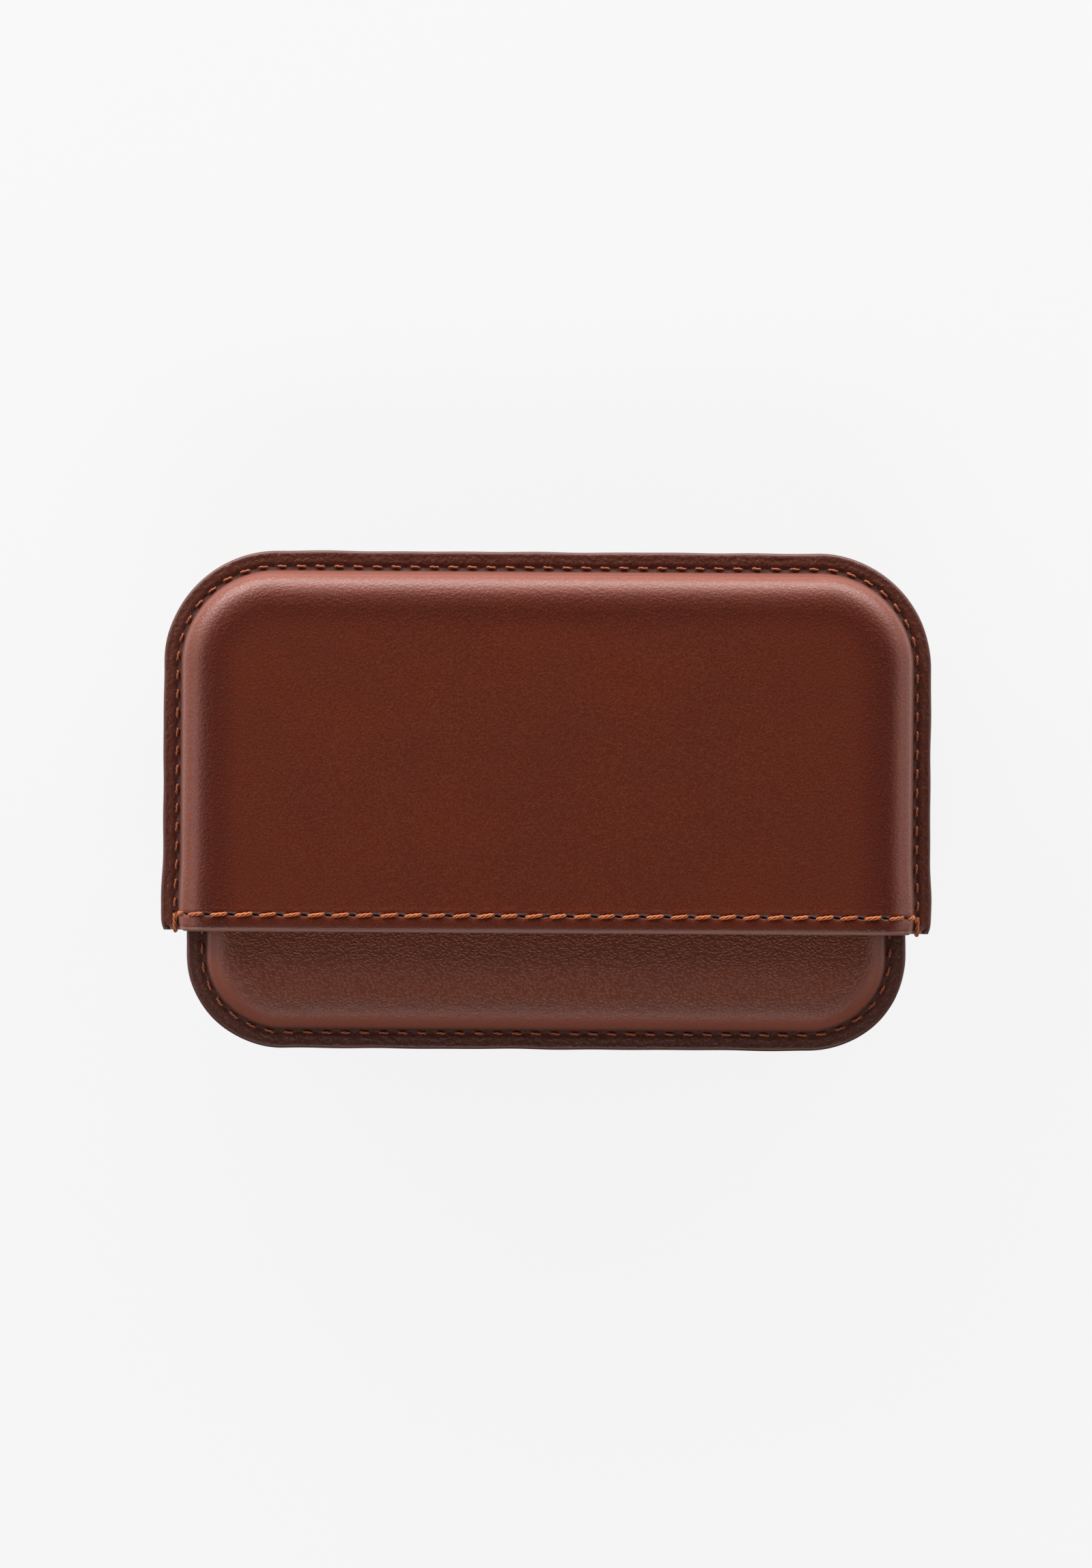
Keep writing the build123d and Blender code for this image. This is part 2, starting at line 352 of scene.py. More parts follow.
class Panel:
    """The outside of a moulded panel as a grid of points, from the mouth's rows to its closed end."""

    def __init__(self, half, rows, face_step, detail=1.0, least_inset=0.0, to_end=True):
        profile = panel_profile(half, detail)
        shoulder_end = profile[-1, 0]
        width = half.tray_half + half.end_flange - shoulder_end
        count = round(width / face_step)
        inward = np.arange(1, count + 1) / count
        climb = np.cumsum(climbed(profile)[::-1])
        insets = np.concatenate([profile[:, 0], shoulder_end + width * inward])
        reach = np.concatenate([width + np.append(climb[::-1], 0), width * (1 - inward)])
        top_inset = profile[::-1, 0]
        top_reach = half.length - shoulder_end + np.insert(climb, 0, 0)
        if rows[-1] > half.length - shoulder_end - 1e-6:
            rows = rows[:-1]
        up_inset = np.concatenate([half.length - rows, top_inset if to_end else []])
        up_reach = np.concatenate([rows, top_reach if to_end else []])
        keep_x = insets >= least_inset
        keep_y = up_inset >= least_inset
        across_inset = np.concatenate([insets[keep_x], insets[keep_x][-2::-1]])
        across_reach = np.concatenate([reach[keep_x], reach[keep_x][-2::-1]])
        side = np.where(np.arange(len(across_inset)) < keep_x.sum(), -1, 1)
        a_inset, b_inset = np.meshgrid(across_inset, up_inset[keep_y])
        a_reach, b_reach = np.meshgrid(across_reach, up_reach[keep_y])
        beside = a_inset <= b_inset
        level = np.where(beside, a_inset, b_inset)
        width, end, radius = arch_measures(half, level)
        arc = radius * math.pi / 4
        up_level = np.interp(level, [*top_inset[::-1], half.length], [*top_reach[::-1], 0])
        across_level = np.interp(level, insets, reach)
        side_x, side_y = side_point(half, level, share_out(b_reach, up_level, end - radius + arc))
        end_x, end_y = end_point(half, level, share_out(a_reach, across_level, width - radius + arc))
        self.level = level
        self.x = np.where(beside, side_x, end_x) * side
        self.y = np.where(beside, side_y, end_y)
        self.z = domed(half, self.x, self.y, np.interp(level, profile[:, 0], profile[:, 1]))


def leather_rows(half):
    """Rows of a leather panel: bunched at the mouth's stitches, then even up to the far shoulder."""
    near = mouth_rows(seam_stretch, 11)
    face_end = half.length - panel_profile(half)[-1, 0]
    return np.concatenate([near, even_rows(near[-1], face_end, leather_step)[1:]])


trial = Panel(cover, leather_rows(cover), leather_step)
print("leather grid of", trial.x.shape, "points, reaching", round(float(trial.x.max()), 2), "mm to a side")

# %% [markdown]
# ## What the hand and the wooden form leave behind
#
# A moulded case isn't a drawing. Its sides spread a little towards the mouth, where nothing holds them, the
# corners of the flange are sanded round there and the cut edge wanders by a hair. The pocket widens a little
# towards its closed end too, inside the cover. One function bends every piece of a half in the same way, so
# that pieces that fit together still do.

# %% Bend a half as the hand leaves it
flare, flare_stretch = 0.35, (16, 6.5)
mouth_trim, trim_stretch = {"cover": 0.45, "pocket": 0.0}, (10, 0)
end_spread, spread_stretch = {"cover": 0.0, "pocket": 0.5}, (50, 59)
corner_sanding, sanded_stretch = 0.75, 2.4
edge_wander, edge_wave = 0.07, 31
end_wander, end_wave = 0.08, 37


def wander(along, wavelength, seed):
    """A slow irregular wave between about -1 and 1: three sines whose wavelengths share no measure."""
    waves = wavelength * np.array([1.0, 0.618, 0.414])
    starts = np.random.default_rng(seed).uniform(0, 2 * math.pi, 3)
    return sum(np.sin(2 * math.pi * along / w + p) for w, p in zip(waves, starts)) / 2.2


def bent(half, points):
    """Spreads the sides, trims and rounds the flange at the mouth, and lets its edge wander."""
    x, y, z = np.moveaxis(points, -1, 0)
    out = step(np.abs(x), half.tray_half - 12, half.tray_half)
    on_flange = step(np.abs(x), half.tray_half + 0.6, half.edge - 0.6)
    flared = flare * step(y, *flare_stretch) * (1 - 0.25 * step(y, 4, 0)) * out
    spread = flared + end_spread[half.name] * step(y, *spread_stretch) * out
    rounding = 1 - np.sqrt(1 - np.clip(1 - y / sanded_stretch, 0, 0.95) ** 2)
    sanded = corner_sanding * rounding * on_flange
    drift = edge_wander * wander(y + 400 * np.sign(x), edge_wave, seed=5) * on_flange
    lift = end_wander * wander(x, end_wave, seed=6) * step(y, half.tray_end, half.length)
    trimmed = mouth_trim[half.name] * step(y, *trim_stretch)
    return np.stack([x + np.sign(x) * (spread - sanded + drift), y + lift + trimmed, z], -1)


def placed(half, points, back=False):
    """Bends points of a half and takes them to the row's frame."""
    return in_place(half, bent(half, points), back)


# %% [markdown]
# ## Where the needle went
#
# Two seams hold each half together. One follows the flange from mouth to mouth, just outside the crease. The
# other runs across each panel behind the mouth. For every point of the leather we work out how far along and
# how far beside each seam it is, so that the holes, the pull of the thread and the stitches all agree.

# %% Measure along the seams
flange_seam_inset = 3.5
flange_pitch_wanted = 4.1
flange_seam_start = 4.1
flange_gap = 1.85
mouth_pitch_wanted = 5.1
mouth_seam_start = 2.6
mouth_slit = 1.45


def stack_at(half, level):
    """The thickness of leather, board and lining together, which grows from the wall to the face."""
    return 1.5 + 0.7 * step(level, half.end_flange + 3, half.end_flange + shoulder_reach)


class FlangeSeam:
    """The seam along the flange: its length, and the evenly spaced slits along it."""

    def __init__(self, half):
        self.half = half
        self.total = float(outline_length(half, flange_seam_inset))
        self.count = round((self.total - 2 * flange_seam_start) / flange_pitch_wanted)
        self.pitch = (self.total - 2 * flange_seam_start) / self.count

    def turns(self, x, y):
        """How many slits a point is along the seam, and how many millimetres outside it."""
        width, end, radius = arch_measures(self.half, flange_seam_inset)
        ax = np.abs(x)
        beside = y < end - radius
        above = (ax < width - radius) & ~beside
        angle = np.arctan2(y - end + radius, ax - width + radius)
        corner = end - radius + radius * angle
        end_run = end + radius * (math.pi / 2 - 1) + width - radius - ax
        along = np.where(beside, y, np.where(above, end_run, corner))
        across = np.hypot(ax - width + radius, y - end + radius) - radius
        across = np.where(beside, ax - width, np.where(above, y - end, across))
        along = np.where(x < 0, along, self.total - along)
        return (along - flange_seam_start) / self.pitch, across

    def point(self, along, across, height):
        """The point that is along the seam, across it to the outside, and above the flange."""
        x, y, out_x, out_y = outline_point(self.half, flange_seam_inset, along)
        z = self.half.flange_top + height
        return np.stack([x + out_x * across, y + out_y * across, z + 0 * along], -1)


class MouthSeam:
    """The seam across a panel behind the mouth: the line of the panel there, and the slits along it."""

    def __init__(self, half):
        profile = panel_profile(half)
        level = np.concatenate([profile[:, 0], np.linspace(profile[-1, 0], half.edge + 0.5, 90)[1:]])
        width = arch_measures(half, level)[0]
        width[-1] = 0
        z = np.interp(level, profile[:, 0], profile[:, 1])
        z = domed(half, width, seam_row + 0 * width, z)
        self.level = level
        self.x = np.concatenate([-width, width[-2::-1]])
        self.z = np.concatenate([z, z[-2::-1]])
        self.along = np.insert(np.cumsum(np.hypot(np.diff(self.x), np.diff(self.z))), 0, 0)
        self.total = self.along[-1]
        foot = self.along[np.argmax(level > half.end_flange - 0.15)]
        self.start = foot + mouth_seam_start
        run = self.total - 2 * foot - 2 * mouth_seam_start
        self.count = round(run / mouth_pitch_wanted)
        self.pitch = run / self.count
        slope_x = np.gradient(self.x, self.along)
        slope_z = np.gradient(self.z, self.along)
        self.normal_x, self.normal_z = -slope_z, slope_x

    def turns(self, x, level):
        """How many slits a point near the mouth is along the seam."""
        left = np.interp(level, self.level, self.along[: len(self.level)])
        return (np.where(x < 0, left, self.total - left) - self.start) / self.pitch

    def level_at(self, along):
        """How far in from the flange's edge a length along the seam lies."""
        near = np.minimum(along, self.total - along)
        return np.interp(near, self.along[: len(self.level)], self.level)

    def point(self, along, across, height):
        """The point that is along the seam, across it towards the closed end, and above the leather."""
        x = np.interp(along, self.along, self.x) + height * np.interp(along, self.along, self.normal_x)
        z = np.interp(along, self.along, self.z) + height * np.interp(along, self.along, self.normal_z)
        return np.stack([x, seam_row + across + 0 * along, z], -1)


flange_seams = {half.name: FlangeSeam(half) for half in halves}
mouth_seams = {half.name: MouthSeam(half) for half in halves}
for half in halves:
    stitches = flange_seams[half.name].count, mouth_seams[half.name].count
    print(half.name, "stitches along the flange and across the mouth:", stitches)

# %% [markdown]
# ## The leather panels
#
# The panel's grid is lifted or sunk along its own normals: down at each slit where the needle went in, into
# a shallow channel where the thread lies, up in a soft ridge beside it where the hide is squeezed, and down
# again where the cut edge at the mouth is sanded round. The hide itself is never quite flat either.

# %% Shape the leather
leather_thickness = 1.0
hole_width = 0.22
channel_depth, channel_width = 0.14, 0.55
ridge_height, ridge_place, ridge_width = 0.09, 1.05, 0.5
lip_sanding, lip_stretch = 0.5, 1.82
hide_relief = 0.05
unstitched = 9


def normals_of(points):
    """Unit normals of a grid, from the cross product of its two directions."""
    normal = np.cross(np.gradient(points, axis=1), np.gradient(points, axis=0))
    return normal / np.maximum(np.linalg.norm(normal, axis=-1, keepdims=True), 1e-12)


def sheet_between(half, back, panel, outer, inner, skip=1):
    """The closed sheet between two heights over a panel, each measured along the panel's normals."""
    base = np.stack([panel.x, panel.y, panel.z], -1)
    normal = normals_of(base)
    skins = [placed(half, base + normal * height[..., None], back) for height in (outer, inner)]
    return closed_sheet(*skins, skip)


def needle_work(turns, across, pitch, hole_depth, slit_half, tilt):
    """Height added by one seam: holes, the channel under the thread and the ridges beside it."""
    u = (turns - np.round(turns)) * pitch
    hole = -hole_depth * bell(u, slit_half) ** 2 * bell(across + tilt * u, hole_width)
    channel = -channel_depth * bell(across, channel_width)
    ridges = bell(across - ridge_place, ridge_width) + bell(across + ridge_place, ridge_width)
    return hole + channel + ridge_height * ridges * (0.65 - 0.35 * np.cos(2 * math.pi * turns))


def hide(x, y, seed):
    """The slow unevenness of a hide: a few broad waves in different directions."""
    rng = np.random.default_rng(seed)
    waves = (46, 31, 22, 15, 10)
    total = 0
    for wave in waves:
        way = rng.uniform(0, 2 * math.pi)
        start = rng.uniform(0, 2 * math.pi)
        total = total + wave * np.sin(2 * math.pi * (x * math.cos(way) + y * math.sin(way)) / wave + start)
    return total / sum(waves)


def leather_panel(half, back):
    """One leather panel: the grid of its outside, shaped by the seams, the sanding and the hide."""
    panel = Panel(half, leather_rows(half), leather_step)
    flange, mouth = flange_seams[half.name], mouth_seams[half.name]
    turns, across = flange.turns(panel.x, panel.y)
    row_turns, row_across = mouth.turns(panel.x, panel.level), panel.y - seam_row
    on_flange = step(panel.level, half.end_flange + 0.3, half.end_flange - 0.4)
    past_foot = step(row_turns, -0.15, 0.05) * step(mouth.count - row_turns, -0.15, 0.05)
    height = on_flange * needle_work(turns, across, flange.pitch, hole_depth=0.14, slit_half=0.7, tilt=0.15)
    height += past_foot * needle_work(
        row_turns, row_across, mouth.pitch, hole_depth=0.6, slit_half=0.9, tilt=0.2
    )
    height -= lip_sanding * (1 - np.sqrt(1 - np.clip((2.0 - panel.y) / lip_stretch, 0, 0.97) ** 2))
    broad = hide(panel.x + 200 * half.turn, panel.y + 100 * back, 3)
    height += hide_relief * broad * step(panel.level, 6, 14)
    height += hide_relief * hide(panel.x * 3.1, panel.y * 3.1, 4) * on_flange * step(panel.level, 1.0, 1.6)
    inner = np.full_like(height, -leather_thickness)
    points, faces = sheet_between(half, back, panel, height, inner, skip=4)

    def marked(values, inside):
        return np.concatenate([values.ravel(), np.full(len(points) - panel.x.size, inside)])

    marks = {
        "inset": marked(panel.level, -10),
        "flange_turns": marked(turns, 0.5),
        "flange_across": marked(across, unstitched),
        "mouth_turns": marked(np.clip(row_turns, -0.4, mouth.count + 0.4), 0.5),
        "mouth_across": marked(row_across, unstitched),
    }
    side = sides[back]
    piece = make_piece(f"{half.name}_{side}_calf", points, faces, marks)
    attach(piece, half.name)
    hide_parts(f"{half.name}_{side}_leather")
    return piece


calf = {}
for half, back in panels:
    calf[half.name, back] = leather_panel(half, back)
    print(calf[half.name, back].name, len(calf[half.name, back].data.polygons), "faces")

# %% [markdown]
# ## Board, lining and mouth facing
#
# Inside, a board stiffens the flat of each face, a suede lining covers it all and a thin leather facing
# finishes the mouth, where the row of stitches holds it. They only show when the cover comes off, but they
# are the inner skins of the same moulded shape, so they are cut from the same grid and pushed in by the
# layers outside them.

# %% Make the inner layers
facing_depth = 12.0
glue = 0.1
lining_thickness = 0.4
board_thickness = 0.6
inner_detail = 0.6
inner_step = 1.8
board_step = 6.0


def under_board(half, level):
    """How deep the lining and the facing start: below the leather and the board."""
    return stack_at(half, level) - lining_thickness


def under_leather(half, level):
    """How deep the board starts: just below the leather."""
    return np.full_like(level, leather_thickness + glue)


def inner_layer(half, back, kind, rows, spacing, start, thickness, least_inset, to_end):
    """A closed sheet that follows the panel, from the depth that start gives, by its thickness."""
    panel = Panel(half, rows, spacing, inner_detail, least_inset, to_end)
    depth = start(half, panel.level)
    points, faces = sheet_between(half, back, panel, -depth, -(depth + thickness))
    piece = make_piece(f"{half.name}_{sides[back]}_{kind}", points, faces)
    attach(piece, half.name)
    return piece


layers = []
for half, back in panels:
    side = sides[back]
    shoulder_end = panel_profile(half, inner_detail)[-1, 0]
    face_end = half.length - shoulder_end
    facing_rows = even_rows(0.75, facing_depth, 0.9)
    lining_rows = even_rows(facing_depth + glue, face_end, inner_step)
    board_rows = even_rows(1.0, face_end, board_step)
    cuts = {
        "facing": (facing_rows, inner_step, under_board, lining_thickness, 0.6, False),
        "suede": (lining_rows, inner_step, under_board, lining_thickness, 0.6, True),
        "board": (board_rows, board_step, under_leather, board_thickness, shoulder_end - 0.05, True),
    }
    facing, lining, board = (inner_layer(half, back, kind, *cut) for kind, cut in cuts.items())
    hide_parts(f"{half.name}_{side}_mouth_facing")
    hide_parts(f"{half.name}_{side}_lining")
    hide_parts(f"{half.name}_{side}_stiffener")
    layers.append((facing, lining, board))
    print(half.name, side, "inner layers of", [len(layer.data.polygons) for layer in layers[-1]], "faces")

# %% [markdown]
# ## The painted edges
#
# The cut edges are sanded round and covered with several coats of thick edge paint, which dries to a smooth
# bead. Round the flange one bead covers both panels. Along the mouth each panel has its own lip. Each bead
# is a closed section carried along the edge: the section is half of a full, squarish ellipse and comes back
# just inside.

# %% Paint the edges
bead_fullness = 0.84
bead_reach = 0.75
bead_clearance = 0.02
rim_highlight = 0.35
bead_back = [1.9, 0.75, 0.5, 0.75, 1.9]
lip_margin = 0.5
lip_depth = 0.15
lip_start, lip_fullness = 0.6, 0.7
lip_back = [-0.5, 0.2, 0.3, 0.2, -0.5]
lip_back_depth = [0.93, 0.7, 0.5, 0.3, 0.07]


def bead_section(count):
    """Half of a squarish ellipse, from one side over the front to the other: cos^p and sin^p of the angle."""
    turn = np.linspace(0, math.pi, count)
    cos, sin = np.cos(turn), np.sin(turn)
    return np.sign(cos) * np.abs(cos) ** bead_fullness, sin**bead_fullness


def capped_tube(name, rings, polish):
    """A tube through rings, with a flat cap at each end. polish says how much painted highlight the paint
    gets.
    """
    count, around = rings.shape[:2]
    index = np.arange(count * around).reshape(count, around)
    faces = [grid_faces(index, closed=True), [index[0][::-1]], [index[-1]]]
    return make_piece(name, rings, faces, {"polish": np.broadcast_to(polish, index.shape)})


def flange_bead(half):
    """The bead round the flange, from mouth to mouth."""
    drop = half.flange_top - bead_clearance
    high, out = bead_section(17)
    inset = np.concatenate([bead_reach * (1 - out), bead_back])
    height = np.concatenate([drop * high, [-drop + 0.13, -0.9, 0, 0.9, drop - 0.13]])
    share = np.linspace(0, 1, 420)[:, None]
    x, y = outline_point(half, inset[None, :], share * outline_length(half, inset[None, :]))[:2]
    rings = np.stack([x, y, height[None, :] + 0 * x], -1)
    rings[[0, -1], :, 1] -= 0.1
    # The bead's outer rim is painted paler, as a painted reflection of the bright surroundings on its side.
    polish = rim_highlight * step(inset, 0.25, 0.05)
    return capped_tube(f"{half.name}_painted_edge", placed(half, rings[:, ::-1]), polish[::-1])


def mouth_lip(half, back):
    """The painted lip of one panel, along the whole of its mouth edge."""
    seam = mouth_seams[half.name]
    along = np.linspace(seam.along[0] + lip_margin, seam.total - seam.along[0] - lip_margin, 520)
    thick = (stack_at(half, seam.level_at(along)) + 0.05)[:, None]
    high, out = bead_section(15)
    depth = lip_depth + np.concatenate([(1 - high) / 2, lip_back_depth])[None, :] * (thick - 0.2)
    from_mouth = lip_start - lip_fullness * np.concatenate([out, lip_back])[None, :] + 0 * thick
    rings = seam.point(along[:, None] + 0 * depth, from_mouth - seam_row, -depth)
    # The whole lip gets the full painted highlight.
    return capped_tube(f"{half.name}_{sides[back]}_painted_lip", placed(half, rings, back), 1.0)


painted = []
for half in halves:
    rim = flange_bead(half)
    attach(rim, half.name)
    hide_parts(f"{half.name}_flange_edge_paint")
    painted.append(rim)
    for back in (False, True):
        lip = mouth_lip(half, back)
        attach(lip, half.name)
        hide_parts(f"{half.name}_{sides[back]}_mouth_edge_paint")
        painted.append(lip)
for piece in painted:
    print(piece.name, len(piece.data.polygons), "faces")

# %% [markdown]
# ## Twisted thread
#
# The thread is three plies twisted to the left and waxed. Each stitch is one closed tube: its section has
# three soft lobes, and turns a little from ring to ring, so that the valleys between the plies wind round it
# as they do on the real thread. It dips into the leather at both ends and lies a little askew, because every
# stitch runs from the front of one slit to the back of the next.

# %% Twist the stitches
thread_radius = 0.44
thread_lay = 3.4
ply_valley = 0.74
thread_flatness = 0.86
mouth_askew = math.radians(7.5)
flange_askew = -0.10


def plies(around):
    """The points of the thread's section: how full it is at each, with three valleys, and their angles."""
    place = np.arange(around)
    return np.where(place % (around // 3) == 0, ply_valley, 1.0), place * 2 * math.pi / around


def stitch_run(seam, first, gap):
    """Where the stitches of a seam start and how long they are, with a gap between each and the next."""
    return first + seam.pitch * np.arange(seam.count) + gap / 2, np.full(seam.count, seam.pitch - gap)


def twisted_tubes(path, starts, lengths, askew, rings, around, radius, lift, sink, seed, wear=0.0):
    """Stitches as twisted tubes. path gives a point from along, across and height, as arrays of any shape."""
    rng = np.random.default_rng(seed)
    count = len(starts)
    u = (1 - np.cos(np.linspace(0, math.pi, rings))) / 2
    u = (0.5 * u + 0.5 * np.linspace(0, 1, rings))[None, :, None]
    middle = 1 - np.abs(2 * u - 1) ** 5
    wobble = rng.normal(0, 1, (4, count, 1, 1))
    length = lengths[:, None, None] * (1 + 0.03 * wobble[0])
    fat = radius * (0.72 + 0.28 * (1 - np.abs(2 * u - 1) ** 6)) * (1 + 0.04 * wobble[1])
    lobes, angle = plies(around)
    turned = angle[None, None, :] - u * length * 2 * math.pi / thread_lay + wobble[2]
    along = starts[:, None, None] + u * length + 0 * turned
    tip = 0.10 * step(u, 0.86, 1.0)
    across = (u - 0.5) * length * np.tan(askew) * (1 + 0.12 * wobble[3]) + tip
    across = across + fat * lobes * np.cos(turned)
    height = -sink + (lift + sink) * middle + fat * lobes * np.sin(turned) * thread_flatness
    points = path(along, across, height)
    index = np.arange(count * rings * around).reshape(count, rings, around)
    walls = [grid_faces(stitch, closed=True) for stitch in index]
    caps = np.concatenate([index[:, 0, ::-1], index[:, -1]])
    marks = {
        "ply": np.broadcast_to(lobes, index.shape),
        "stitch": np.broadcast_to(rng.uniform(0, 1, (count, 1, 1)), index.shape),
        "wear": np.full(index.shape, wear),
    }
    return points, [np.concatenate(walls), caps], marks


def flange_thread(half, back):
    """The needle thread of the flange seam on one panel: one stitch from each slit to the next."""
    seam = flange_seams[half.name]
    starts, lengths = stitch_run(seam, flange_seam_start, flange_gap)

    def path(along, across, height):
        return placed(half, seam.point(along, across, height), back)

    seed = 11 + 2 * (half.turn < 0) + back
    return twisted_tubes(
        path, starts, lengths, flange_askew, rings=9, around=6, radius=0.34, lift=0.03, sink=0.41,
        seed=seed, wear=0.5,
    )


def mouth_thread(half, back, inside):
    """The thread of the mouth seam on one panel, outside on the leather or inside on the facing."""
    seam = mouth_seams[half.name]
    starts, lengths = stitch_run(seam, seam.start, mouth_slit)

    def path(along, across, height):
        under = -stack_at(half, seam.level_at(along)) - height if inside else height
        return placed(half, seam.point(along, across, under), back)

    seed = 31 + 4 * (half.turn < 0) + 2 * back + inside
    rings, around = (8, 6) if inside else (13, 9)
    points, faces, marks = twisted_tubes(
        path, starts, lengths, mouth_askew, rings, around, thread_radius, lift=0.18, sink=0.45, seed=seed
    )
    return points, [face[:, ::-1] for face in faces] if inside else faces, marks


threads = []
for half, back in panels:
    side = sides[back]
    piece = make_piece(f"{half.name}_{side}_flange_thread", *flange_thread(half, back))
    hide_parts(f"{half.name}_{side}_flange_stitches")
    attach(piece, half.name)
    threads.append(piece)
    for inside, where in ((False, "outside"), (True, "inside")):
        name = f"{half.name}_{side}_mouth_thread" + ("_inside" if inside else "")
        piece = make_piece(name, *mouth_thread(half, back, inside))
        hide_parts(f"{half.name}_{side}_mouth_stitches_{where}")
        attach(piece, half.name)
        threads.append(piece)

# %% [markdown]
# At each mouth corner the thread is tied off: one stitch goes from the last slit round the painted edge to
# the back, and a short one on each side joins the flange's row to the mouth's. They are the same twisted
# tube, bent along a path, and the left corner is the right one mirrored, with its faces turned so that they
# look outwards.

# %% Tie off the seam round the flange's mouth corners
tack_rise, tack_reach, tack_depth, tack_slant = 0.30, 3.75, 4.05, 0.10
loop_share, link_share = 1.12, 0.62
link_arch = 0.35


def tube_round(path, radius, around=9):
    """Rings of a twisted tube whose middle follows a path of points, with its section square to the path."""
    way = np.gradient(path, axis=0)
    way /= np.linalg.norm(way, axis=1, keepdims=True)
    sideways = np.cross(way, np.array([0.31, 0.27, 0.91]))
    sideways /= np.linalg.norm(sideways, axis=1, keepdims=True)
    upright = np.cross(sideways, way)
    walked = np.insert(np.cumsum(np.linalg.norm(np.diff(path, axis=0), axis=1)), 0, 0)
    lobes, angle = plies(around)
    angle = angle - walked[:, None] * 2 * math.pi / thread_lay
    size = radius[:, None] * lobes
    flat = sideways[:, None] * (size * np.cos(angle))[..., None]
    return path[:, None] + flat + upright[:, None] * (size * np.sin(angle))[..., None]


def corner_tacks(half):
    """The loop round the edge at each mouth corner, and the short stitches that join the two rows."""
    seam = flange_seams[half.name]
    top = half.flange_top
    share = np.linspace(0, 1, 41)
    turn = (share - 0.5) * math.pi * 1.02
    tall = (top + tack_rise) * np.sign(np.sin(turn)) * np.abs(np.sin(turn)) ** 0.42
    out = tack_reach - tack_depth * np.abs(np.cos(turn)) ** 0.75
    dive = np.clip(np.abs(2 * share - 1) - 0.93, 0, 1) / 0.07
    x0 = abs(float(seam.point(np.array(0.0), 0.0, 0.0)[0]))
    loop = np.stack([x0 + tack_slant * np.cos(turn), out, tall * (1 - 0.45 * dive)], 1)
    start = np.array([x0 - 0.95, tack_reach, top + 0.75])
    end = np.array([x0 - 0.12, 2.1, top - 0.1])
    run = np.linspace(0, 1, 11)[:, None]
    link = start + (end - start) * run + np.array([0.0, 0.0, link_arch]) * (1 - (2 * run - 1) ** 2)
    thin = np.full(11, thread_radius * link_share)
    paths = [(loop, thread_radius * loop_share * (1 - 0.2 * dive))]
    paths += [(link * np.array([1, 1, side]), thin) for side in (1, -1)]
    points, walls, caps, first = [], [], [], 0
    for path, radius in paths:
        rings = tube_round(path, radius)
        for side in (1, -1):
            index = first + np.arange(rings.size // 3).reshape(rings.shape[:2])
            first += index.size
            faces = grid_faces(index, closed=True)
            points.append((rings * np.array([side, 1, 1])).reshape(-1, 3))
            walls.append(faces[:, ::-1] if side > 0 else faces)
            caps += [index[0], index[-1][::-1]] if side > 0 else [index[0][::-1], index[-1]]
    points = np.concatenate(points)
    ply = np.where(np.arange(len(points)) % 3 == 0, ply_valley, 1.0)
    marks = {"ply": ply, "stitch": np.full(len(points), 0.3), "wear": np.full(len(points), 0.4)}
    return placed(half, points), [np.concatenate(walls), caps], marks


for half in halves:
    piece = make_piece(f"{half.name}_corner_tacks", *corner_tacks(half))
    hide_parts(f"{half.name}_mouth_corner_tacks")
    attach(piece, half.name)
    threads.append(piece)
print(len(threads), "thread pieces,", sum(len(piece.data.polygons) for piece in threads), "faces")

# %% [markdown]
# ## Materials
#
# Materials are built from nodes. Small helpers keep each one readable: one adds a node, sets its values and
# links its inputs, and others wrap the few kinds of node that are used again and again.

# %% Small helpers for node trees


def feed(tree, socket, value):
    """Links a socket to another one, or gives it a plain value."""
    if isinstance(value, bpy.types.NodeSocket):
        tree.links.new(value, socket)
    else:
        socket.default_value = value


def add(tree, kind, **inputs):
    """Adds a node. Each keyword is a setting of the node, or an input's name with its value or link."""
    node = tree.nodes.new(kind)
    for key, value in inputs.items():
        if hasattr(node, key):
            setattr(node, key, value)
            continue
        name = key.replace("_", " ").lower()
        feed(tree, next(s for s in node.inputs if s.name.lower() == name and s.enabled), value)
    return node


def sum_up(tree, operation, *values):
    """A math node on two or three values or links."""
    node = tree.nodes.new("ShaderNodeMath")
    node.operation = operation
    for socket, value in zip(node.inputs, values):
        feed(tree, socket, value)
    return node.outputs[0]


def times(tree, one, other):
    """One value times another."""
    return sum_up(tree, "MULTIPLY", one, other)


def ramp(tree, value, low, high, start=0.0, end=1.0):
    """Maps a value smoothly from low..high to start..end, and holds it outside."""
    node = add(tree, "ShaderNodeMapRange", interpolation_type="SMOOTHSTEP")
    tree.links.new(value, node.inputs["Value"])
    for name, number in (("From Min", low), ("From Max", high), ("To Min", start), ("To Max", end)):
        node.inputs[name].default_value = number
    return node.outputs["Result"]


def band(tree, value, start, full, fading, gone):
    """A mask that rises from start to full, and falls again from fading to gone."""
    return times(tree, ramp(tree, value, start, full), ramp(tree, value, gone, fading))


def stained(tree, tone, *coats):
    """Lays colours over a tone, one after the other, each as strongly as its mask says."""
    for mask, color in coats:
        node = tree.nodes.new("ShaderNodeMix")
        node.data_type = "RGBA"
        for place, value in ((0, mask), (6, tone), (7, color)):
            feed(tree, node.inputs[place], value)
        tone = node.outputs[2]
    return tone


def bumped(tree, shader, height, strength, distance):
    """Tilts a shader's normals by a height, which counts in units of a distance in metres."""
    bump = add(tree, "ShaderNodeBump", Strength=strength, Distance=distance)
    tree.links.new(height, bump.inputs["Height"])
    tree.links.new(bump.outputs["Normal"], shader.inputs["Normal"])


def mark(tree, name):
    """The value that a piece's points carry under a name."""
    return add(tree, "ShaderNodeAttribute", attribute_name=name).outputs["Fac"]


